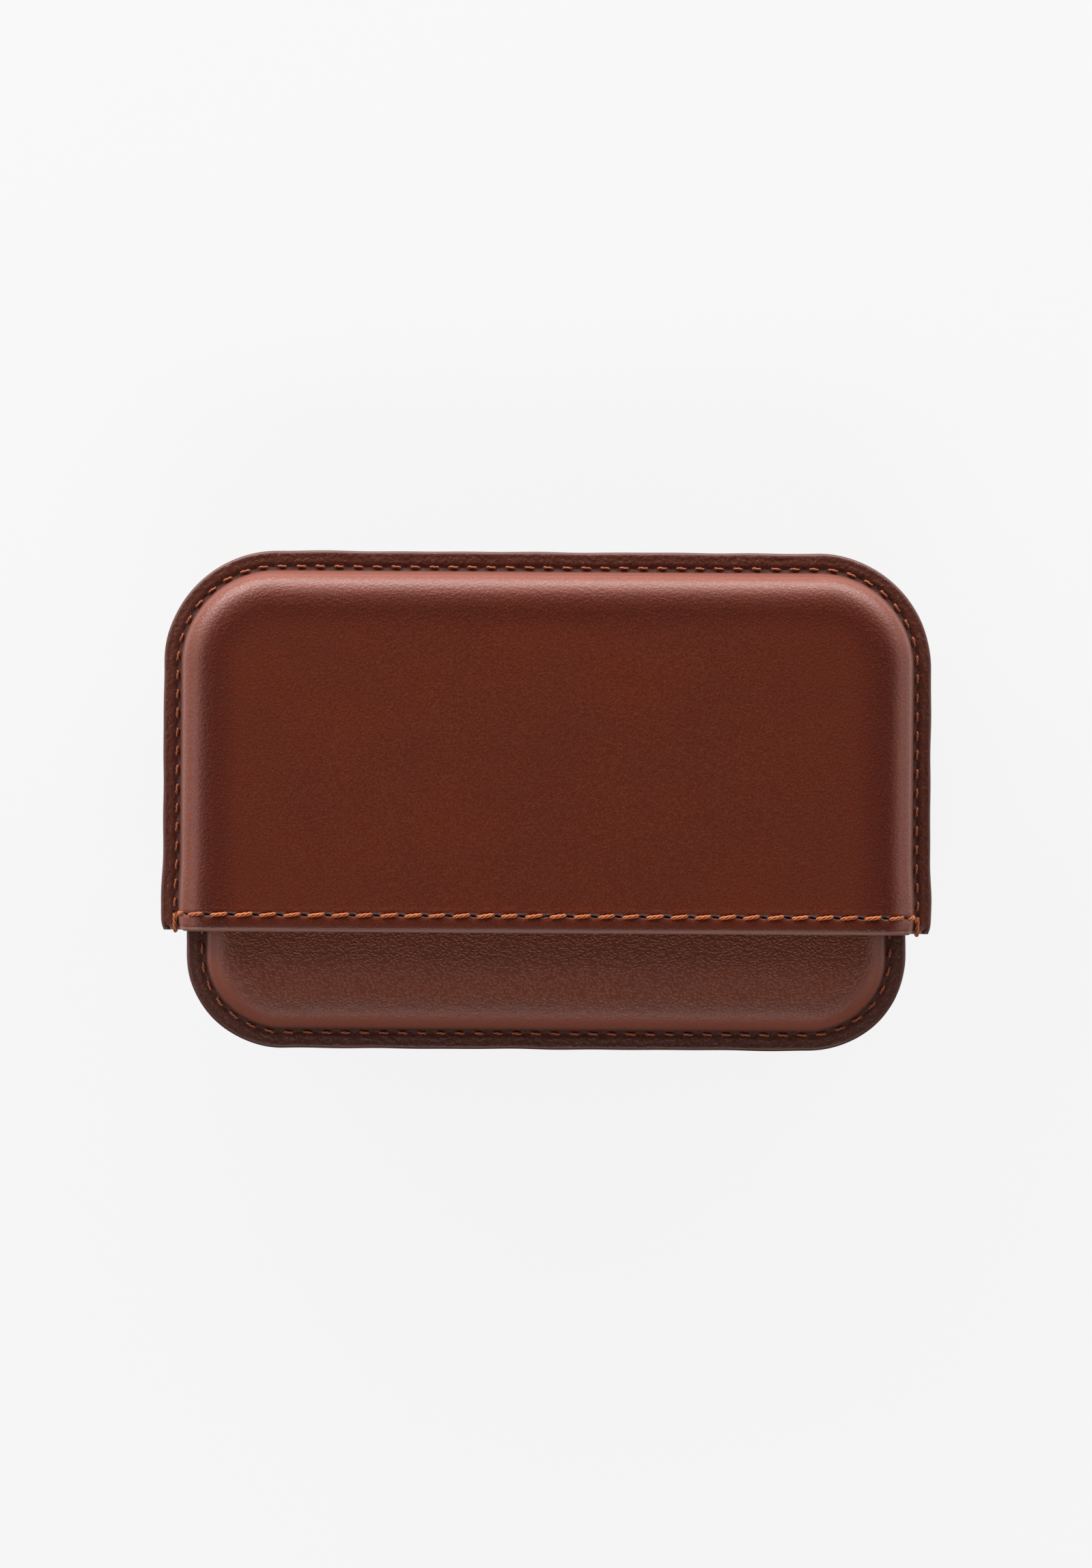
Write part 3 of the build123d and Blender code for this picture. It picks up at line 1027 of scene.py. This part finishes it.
def new_group(name, inputs, outputs):
    """A shader node group with float or vector inputs and float outputs, and its two end nodes."""
    tree = bpy.data.node_groups.new(name, "ShaderNodeTree")
    for key, value in inputs.items():
        kind = "NodeSocketVector" if value is None else "NodeSocketFloat"
        socket = tree.interface.new_socket(key, in_out="INPUT", socket_type=kind)
        if value is not None:
            socket.default_value = value
    for key in outputs:
        tree.interface.new_socket(key, in_out="OUTPUT", socket_type="NodeSocketFloat")
    return tree, tree.nodes.new("NodeGroupInput").outputs, tree.nodes.new("NodeGroupOutput").inputs


def new_material(name):
    """A material with a Principled shader: itself, its tree, the shader, and the place on the object."""
    material = bpy.data.materials.new(name)
    material.use_nodes = True
    tree = material.node_tree
    return material, tree, tree.nodes["Principled BSDF"], add(tree, "ShaderNodeTexCoord").outputs["Object"]


def srgb(red, green, blue):
    """A colour as a screen shows it, from 0 to 255, turned into the linear values that a shader takes."""
    channels = np.array([red, green, blue]) / 255
    linear = np.where(channels <= 0.04045, channels / 12.92, ((channels + 0.055) / 1.055) ** 2.4)
    return (*linear.tolist(), 1.0)


# %% [markdown]
# ## The calf's grain and the needle holes
#
# Calf shows tiny rounded pebbles with narrow valleys between them, finer pores, and slow changes of colour
# where the dye took differently. One group makes the height of that grain and says where its valleys and
# pits are. A second group marks the slits between stitches and a soft halo round each, from how far along
# and beside the seam a point is; the leather paints both darker, as the shade in and round the slits.

# %% Node groups for grain and holes
grain, grain_in, grain_out = new_group(
    "calf_grain",
    {"Position": None, "Pebbles": 1300.0, "Pores": 4200.0, "Pebble depth": 1.0, "Pore depth": 0.3},
    ("Height", "Valleys", "Mottle", "Pits"),
)
position = grain_in["Position"]
warp = add(grain, "ShaderNodeTexNoise", Scale=650.0, Detail=2.0, Vector=position)
shift = add(grain, "ShaderNodeVectorMath", operation="SCALE")
grain.links.new(warp.outputs["Color"], shift.inputs[0])
shift.inputs["Scale"].default_value = 0.0011
moved = add(grain, "ShaderNodeVectorMath", operation="ADD")
grain.links.new(position, moved.inputs[0])
grain.links.new(shift.outputs[0], moved.inputs[1])
cells = add(grain, "ShaderNodeTexVoronoi", feature="SMOOTH_F1", Vector=moved.outputs[0], Smoothness=0.35)
grain.links.new(grain_in["Pebbles"], cells.inputs["Scale"])
rounded = ramp(grain, cells.outputs["Distance"], 0.12, 0.72, 1.0, 0.0)
pores = add(grain, "ShaderNodeTexNoise", Detail=3.0, Roughness=0.6, Vector=position)
grain.links.new(grain_in["Pores"], pores.inputs["Scale"])
pebble_part = times(grain, rounded, grain_in["Pebble depth"])
pore_part = times(grain, pores.outputs["Fac"], grain_in["Pore depth"])
grain.links.new(sum_up(grain, "ADD", pebble_part, pore_part), grain_out["Height"])
grain.links.new(sum_up(grain, "SUBTRACT", 1.0, rounded), grain_out["Valleys"])
pits = add(grain, "ShaderNodeTexVoronoi", Scale=2100.0, Vector=position)
grain.links.new(ramp(grain, pits.outputs["Distance"], 0.13, 0.30, 1.0, 0.0), grain_out["Pits"])
cloud = add(grain, "ShaderNodeTexNoise", Scale=42.0, Detail=4.0, Vector=position)
grain.links.new(ramp(grain, cloud.outputs["Fac"], 0.35, 0.68), grain_out["Mottle"])

holes, holes_in, holes_out = new_group(
    "needle_holes",
    {"Turns": 0.5, "Across": 9.0, "Pitch": 5.0, "Half length": 0.8, "Half width": 0.26, "Tilt": 0.2},
    ("Hole", "Bruise"),
)
offset = sum_up(holes, "SUBTRACT", holes_in["Turns"], sum_up(holes, "ROUND", holes_in["Turns"]))
along_hole = times(holes, offset, holes_in["Pitch"])
askew_by = times(holes, along_hole, holes_in["Tilt"])
beside_hole = sum_up(holes, "ABSOLUTE", sum_up(holes, "ADD", holes_in["Across"], askew_by))
along_part = sum_up(holes, "DIVIDE", sum_up(holes, "ABSOLUTE", along_hole), holes_in["Half length"])
beside_part = sum_up(holes, "DIVIDE", beside_hole, holes_in["Half width"])
far = sum_up(
    holes, "ADD", sum_up(holes, "POWER", along_part, 4.0), sum_up(holes, "POWER", beside_part, 2.0)
)
# Hole is where the slit is painted near black, as the shade inside it. Halo shade is the soft painted shade
# round it.
holes.links.new(ramp(holes, far, 0.7, 1.35, 1.0, 0.0), holes_out["Hole"])
holes.links.new(ramp(holes, far, 0.8, 9.0, 1.0, 0.0), holes_out["Bruise"])
print("groups:", [group.name for group in bpy.data.node_groups])

# %% [markdown]
# ## Leather
#
# The face is smooth, waxed calf, chestnut in the middle, with a darker, redder band on the shoulder that is
# painted shade where the slope catches none of the lamps. The wall is paler, partly because it is stretched
# and partly as a painted highlight from the low lamps, and its foot is painted darker as shade in the crease.
# The flange is squeezed hard by the seam, so it is darker and its grain stands up. The pocket's leather is
# the same hide left with its pebbled grain, but its colour is paler, as painted light that makes up for the
# shade the cover casts on it. The gloss is broad and soft, as wax leaves it.

# %% Build the leather
pebble_scale = 1450.0
waxed_gloss = 0.33


def leather_material(name, half, face, warm, flange, pebble_depth, drawn_depth, deep, stretch, gloss):
    """Calf with its grain, darker flange, painted shade and highlight on the shoulder, and holes of both
    seams painted dark as shade.
    """
    material, tree, shader, place = new_material(name)
    squeezed = add(tree, "ShaderNodeMapping", Vector=place)
    squeezed.inputs["Scale"].default_value = (1.0, stretch, 1.0)
    inset = mark(tree, "inset")
    on_flange = ramp(tree, inset, half.end_flange + 0.3, half.end_flange - 0.3)
    # The shoulder and wall bands carry painted shade and painted highlight. foot marks the crease, which is
    # painted darker as shade.
    on_shoulder = times(tree, band(tree, inset, 7.5, 11.0, 12.0, 19.0), deep)
    stretched_and_lit = band(tree, inset, 4.2, 4.8, 6.0, 10.5)
    foot = band(tree, inset, 3.3, 4.0, 4.4, 5.2)
    drawn = sum_up(tree, "MAXIMUM", on_shoulder, times(tree, stretched_and_lit, 0.7))
    relief = ramp(tree, drawn, 0.0, 1.0, pebble_depth, drawn_depth)
    grown = add(
        tree, "ShaderNodeGroup", node_tree=grain, Position=squeezed.outputs[0], Pebbles=pebble_scale,
        Pores=4300.0, Pebble_depth=relief, Pore_depth=0.4,
    ).outputs
    coarse = add(
        tree, "ShaderNodeGroup", node_tree=grain, Position=place, Pebbles=1000.0, Pores=3600.0,
        Pebble_depth=1.0, Pore_depth=1.2,
    ).outputs
    slits = [
        add(
            tree, "ShaderNodeGroup", node_tree=holes, Turns=mark(tree, seam + "_turns"),
            Across=mark(tree, seam + "_across"), Pitch=pitch, Half_length=length, Half_width=width, Tilt=tilt,
        ).outputs
        for seam, pitch, length, width, tilt in (
            ("flange", flange_seams[half.name].pitch, 0.9, 0.14, 0.15),
            ("mouth", mouth_seams[half.name].pitch, 0.95, 0.19, 0.2),
        )
    ]
    hole = sum_up(tree, "MAXIMUM", times(tree, slits[0]["Hole"], 0.2), slits[1]["Hole"])
    slit_halo_shade = sum_up(tree, "MAXIMUM", slits[0]["Bruise"], slits[1]["Bruise"])
    specks = add(tree, "ShaderNodeTexNoise", Scale=3400.0, Detail=3.0, Vector=place).outputs["Fac"]
    fibres = add(tree, "ShaderNodeTexNoise", Scale=3000.0, Detail=3.0, Roughness=0.7, Vector=place)
    rubbed = ramp(tree, fibres.outputs["Fac"], 0.56, 0.72, 0.0, 0.6)
    skin = stained(
        tree, face,
        (grown["Mottle"], warm),
        (ramp(tree, specks, 0.5, 0.32, 0.0, 0.26), srgb(66, 24, 15)),
        # Painted shade: the shoulder band is darker and redder where the slope catches none of the lamps.
        (times(tree, on_shoulder, 0.85), srgb(78, 23, 8)),
        # The wall is paler: partly the stretched leather, partly a painted highlight from the low lamps.
        (times(tree, stretched_and_lit, 0.85), srgb(119, 61, 46)),
        (times(tree, ramp(tree, specks, 0.45, 0.68), 0.26), srgb(130, 72, 50)),
    )
    scuffed = stained(tree, flange, (rubbed, srgb(142, 98, 84)))
    crease = ramp(tree, drawn, 0.0, 1.0, 0.25 * pebble_depth, 0.45 * drawn_depth)
    tone = stained(
        tree, skin,
        (on_flange, scuffed),
        # Painted shade in the crease at the foot of the wall.
        (times(tree, foot, 0.45), srgb(56, 27, 19)),
        (times(tree, grown["Pits"], ramp(tree, drawn, 0.0, 1.0, 0.1, 0.4)), srgb(60, 22, 14)),
        (times(tree, grown["Valleys"], crease), srgb(38, 14, 10)),
        # Painted shade in a soft halo round each needle slit.
        (times(tree, slit_halo_shade, 0.2), srgb(44, 14, 8)),
        # Near black painted in the needle slits, as the shade inside them.
        (hole, srgb(3, 1, 1)),
    )
    tree.links.new(tone, shader.inputs["Base Color"])
    rough = gloss
    for mask, share in ((grown["Valleys"], 0.10), (hole, 0.4), (foot, 0.5)):
        rough = sum_up(tree, "ADD", rough, times(tree, mask, share))
    tree.links.new(rough, shader.inputs["Roughness"])
    shader.inputs["Specular IOR Level"].default_value = waxed_gloss
    height = add(tree, "ShaderNodeMix", data_type="FLOAT")
    for socket, value in ((0, on_flange), (2, grown["Height"]), (3, coarse["Height"])):
        tree.links.new(value, height.inputs[socket])
    bumped(tree, shader, height.outputs[0], 1.0, 0.00007)
    return material


calf_leather = {
    "cover": leather_material(
        "chestnut_calf", cover, face=srgb(87, 31, 15), warm=srgb(91, 32, 13), flange=srgb(84, 40, 28),
        pebble_depth=0.34, drawn_depth=0.62, deep=1.0, stretch=1.1, gloss=0.34,
    ),
    # The pocket's face and warm tones are paler than the cover's: painted light that makes up for the shade
    # the cover casts on it.
    "pocket": leather_material(
        "pebbled_calf", pocket, face=srgb(111, 53, 34), warm=srgb(114, 53, 33), flange=srgb(78, 38, 28),
        pebble_depth=1.5, drawn_depth=0.05, deep=0.1, stretch=1.35, gloss=0.40,
    ),
}
for (name, back), piece in calf.items():
    piece.data.materials.append(calf_leather[name])

# %% [markdown]
# ## Thread, edge paint and the inside
#
# The thread is dyed orange-tan and waxed: its plies catch the light along their tops, the valleys between
# them are painted darker as shade, and fine fibres break up its colour. The edge paint is smooth and half
# matt, and painted paler as a highlight along the mouth's lips and round the outer rim of the flange's bead.
# The lining is brushed microfibre, the facing is thin skived calf and the board is plain pressed fibre.

# %% Build the other finishes
thread_material, tree, shader, place = new_material("waxed_thread")
fibres = add(tree, "ShaderNodeTexNoise", Scale=5200.0, Detail=3.0, Roughness=0.7, Vector=place).outputs["Fac"]
ply = ramp(tree, mark(tree, "ply"), 0.76, 1.0)
tone = stained(
    tree, srgb(180, 93, 36),
    (mark(tree, "stitch"), srgb(198, 109, 45)),
    (mark(tree, "wear"), srgb(142, 80, 48)),
    (ramp(tree, fibres, 0.35, 0.7, 0.0, 0.5), srgb(158, 74, 36)),
    # Painted shade in the valleys between the plies.
    (sum_up(tree, "SUBTRACT", 1.0, ply), srgb(92, 32, 10)),
)
tree.links.new(tone, shader.inputs["Base Color"])
shader.inputs["Roughness"].default_value = 0.6
shader.inputs["Specular IOR Level"].default_value = 0.3
shader.inputs["Sheen Weight"].default_value = 0.1
bumped(tree, shader, fibres, 0.6, 0.00004)
for piece in threads:
    piece.data.materials.append(thread_material)

edge_paint, tree, shader, place = new_material("sanded_edge_paint")
skin = add(tree, "ShaderNodeTexNoise", Scale=900.0, Detail=3.0, Vector=place).outputs["Fac"]
slow = add(tree, "ShaderNodeTexNoise", Scale=110.0, Detail=2.0, Vector=place).outputs["Fac"]
tone = stained(
    tree, srgb(78, 42, 34),
    (ramp(tree, slow, 0.3, 0.7), srgb(66, 35, 29)),
    # Painted highlight: paler paint on the bead's outer rim and on the lips.
    (mark(tree, "polish"), srgb(116, 78, 68)),
)
tree.links.new(tone, shader.inputs["Base Color"])
tree.links.new(ramp(tree, skin, 0.2, 0.8, 0.38, 0.5), shader.inputs["Roughness"])
shader.inputs["Specular IOR Level"].default_value = 0.36
bumped(tree, shader, skin, 0.5, 0.00003)
for piece in painted:
    piece.data.materials.append(edge_paint)


def inner_material(name, one, other, scale, roughness, sheen, depth):
    """A matt inner finish: two close tones, a fine nap and a little unevenness."""
    material, tree, shader, place = new_material(name)
    nap = add(tree, "ShaderNodeTexNoise", Scale=scale, Detail=4.0, Roughness=0.65, Vector=place)
    nap = nap.outputs["Fac"]
    broad = add(tree, "ShaderNodeTexNoise", Scale=60.0, Detail=3.0, Vector=place).outputs["Fac"]
    mixed = sum_up(tree, "ADD", times(tree, nap, 0.6), broad)
    tree.links.new(stained(tree, one, (ramp(tree, mixed, 0.55, 1.05), other)), shader.inputs["Base Color"])
    shader.inputs["Roughness"].default_value = roughness
    shader.inputs["Sheen Weight"].default_value = sheen
    bumped(tree, shader, nap, 0.8, depth)
    return material


inner_finishes = (
    inner_material("skived_calf", srgb(92, 52, 40), srgb(80, 42, 32), 2600.0, 0.55, 0.0, 0.00005),
    inner_material("microfibre_suede", srgb(132, 100, 74), srgb(110, 80, 58), 3600.0, 0.95, 0.5, 0.00010),
    inner_material("pressed_board", srgb(150, 132, 108), srgb(128, 110, 88), 1500.0, 0.9, 0.0, 0.00005),
)
for pieces in layers:
    for piece, finish in zip(pieces, inner_finishes):
        piece.data.materials.append(finish)
print("materials:", [material.name for material in bpy.data.materials])

# %% [markdown]
# ## Table, light and camera
#
# The case lies on a pale table under soft studio light. Low lamps beyond its closed end and at the far
# corners rake over the leather and draw its grain, and weaker ones stand at each side and on the near side.
# The table shows its own pale tone to the camera with a little of the case's shadow in it. To the light it
# is darker on the near side, so that it doesn't fill the mouth's shadow from below. The camera looks
# straight down through a long lens.

# %% Lay the table
bpy.context.scene.view_settings.view_transform = "Standard"
table_tone = 0.926
table_share = 0.92
table_half = 3.0
table_gap = 0.0005
bounces = (0.10, 0.85)


def camera_sees(tree, lit, shown, output):
    """Shows one shader to the camera, and uses another for the light."""
    rays = add(tree, "ShaderNodeLightPath")
    mixed = add(tree, "ShaderNodeMixShader")
    for socket, value in enumerate((rays.outputs["Is Camera Ray"], lit.outputs[0], shown.outputs[0])):
        tree.links.new(value, mixed.inputs[socket])
    tree.links.new(mixed.outputs[0], tree.nodes[output].inputs["Surface"])


mesh = bpy.data.meshes.new("table")
corners = [(x * table_half, y * table_half, 0) for x, y in ((-1, -1), (1, -1), (1, 1), (-1, 1))]
mesh.from_pydata(corners, [], [(0, 1, 2, 3)])
table = bpy.data.objects.new("table", mesh)
bpy.context.scene.collection.objects.link(table)
table.location.z = -table_gap

table_finish, tree, shader, place = new_material("pale_table")
shader.inputs["Base Color"].default_value = (0.85, 0.85, 0.85, 1)
shader.inputs["Roughness"].default_value = 0.9
pale = add(tree, "ShaderNodeEmission", Color=(table_tone, table_tone, table_tone, 1), Strength=1.0)
shown = add(tree, "ShaderNodeMixShader", Fac=table_share)
tree.links.new(shader.outputs[0], shown.inputs[1])
tree.links.new(pale.outputs[0], shown.inputs[2])
far_side = ramp(tree, add(tree, "ShaderNodeSeparateXYZ", Vector=place).outputs["Y"], -0.06, -0.02, *bounces)
bounce = add(tree, "ShaderNodeBsdfDiffuse", Color=far_side)
camera_sees(tree, bounce, shown, "Material Output")
table.data.materials.append(table_finish)

world = bpy.data.worlds.new("studio")
bpy.context.scene.world = world
world.use_nodes = True
tree = world.node_tree
unlit = tree.nodes["Background"]
unlit.inputs["Color"].default_value = (1, 1, 1, 1)
unlit.inputs["Strength"].default_value = 0.0
camera_sees(tree, unlit, add(tree, "ShaderNodeBackground", Strength=table_tone), "World Output")

# %% Hang the lights
centre = np.array([0.0, 0.0, cad_box[1][2] / 2])
lamp_distance = 1.2


def soft_light(name, azimuth, elevation, width, height, watts):
    """A rectangular soft light that faces the case. Azimuth 0 is beyond the closed end, going clockwise."""
    light = bpy.data.lights.new(name, "AREA")
    light.shape = "RECTANGLE"
    light.size = width
    light.size_y = height
    light.energy = watts
    lamp = bpy.data.objects.new(name, light)
    bpy.context.scene.collection.objects.link(lamp)
    turn, rise = math.radians(azimuth), math.radians(elevation)
    way = np.array([math.sin(turn) * math.cos(rise), math.cos(turn) * math.cos(rise), math.sin(rise)])
    lamp.location = centre + lamp_distance * way
    lamp.rotation_euler = (math.pi / 2 - rise, 0, math.pi - turn)


soft_light("light_beyond_low", 0, 7, 1.4, 0.26, 25)
soft_light("light_beyond_high", 0, 24, 1.4, 0.24, 3.5)
soft_light("light_corner", -40, 12, 0.8, 0.24, 14)
soft_light("light_corner_right", 40, 12, 0.6, 0.24, 6.8)
soft_light("light_left", -90, 25, 1.4, 0.34, 6)
soft_light("light_right", 90, 17, 1.4, 0.26, 4.2)
soft_light("light_near", 180, 36, 1.4, 0.3, 10)
print("lamps:", {light.name: light.energy for light in bpy.data.lights})

# %% Set up the camera
picture_width, picture_height = 1599, 2296
case_share = 0.7025
shown_width = (cad_box[1][0] - cad_box[0][0]) / case_share
camera_distance = 1.3
above_centre = 0.0036
beside_centre = -0.0002
lean = math.radians(0.35)

lens = bpy.data.cameras.new("camera")
lens.sensor_width = 36.0
lens.lens = lens.sensor_width * camera_distance / (shown_width * picture_height / picture_width)
camera = bpy.data.objects.new("camera", lens)
bpy.context.scene.collection.objects.link(camera)
camera.location = (beside_centre, above_centre, cad_box[1][2] / 2 + camera_distance)
camera.rotation_euler = (0, 0, lean)
bpy.context.scene.camera = camera
print("lens", round(lens.lens, 1), "mm; the picture is", round(shown_width / MM), "mm wide at the case")
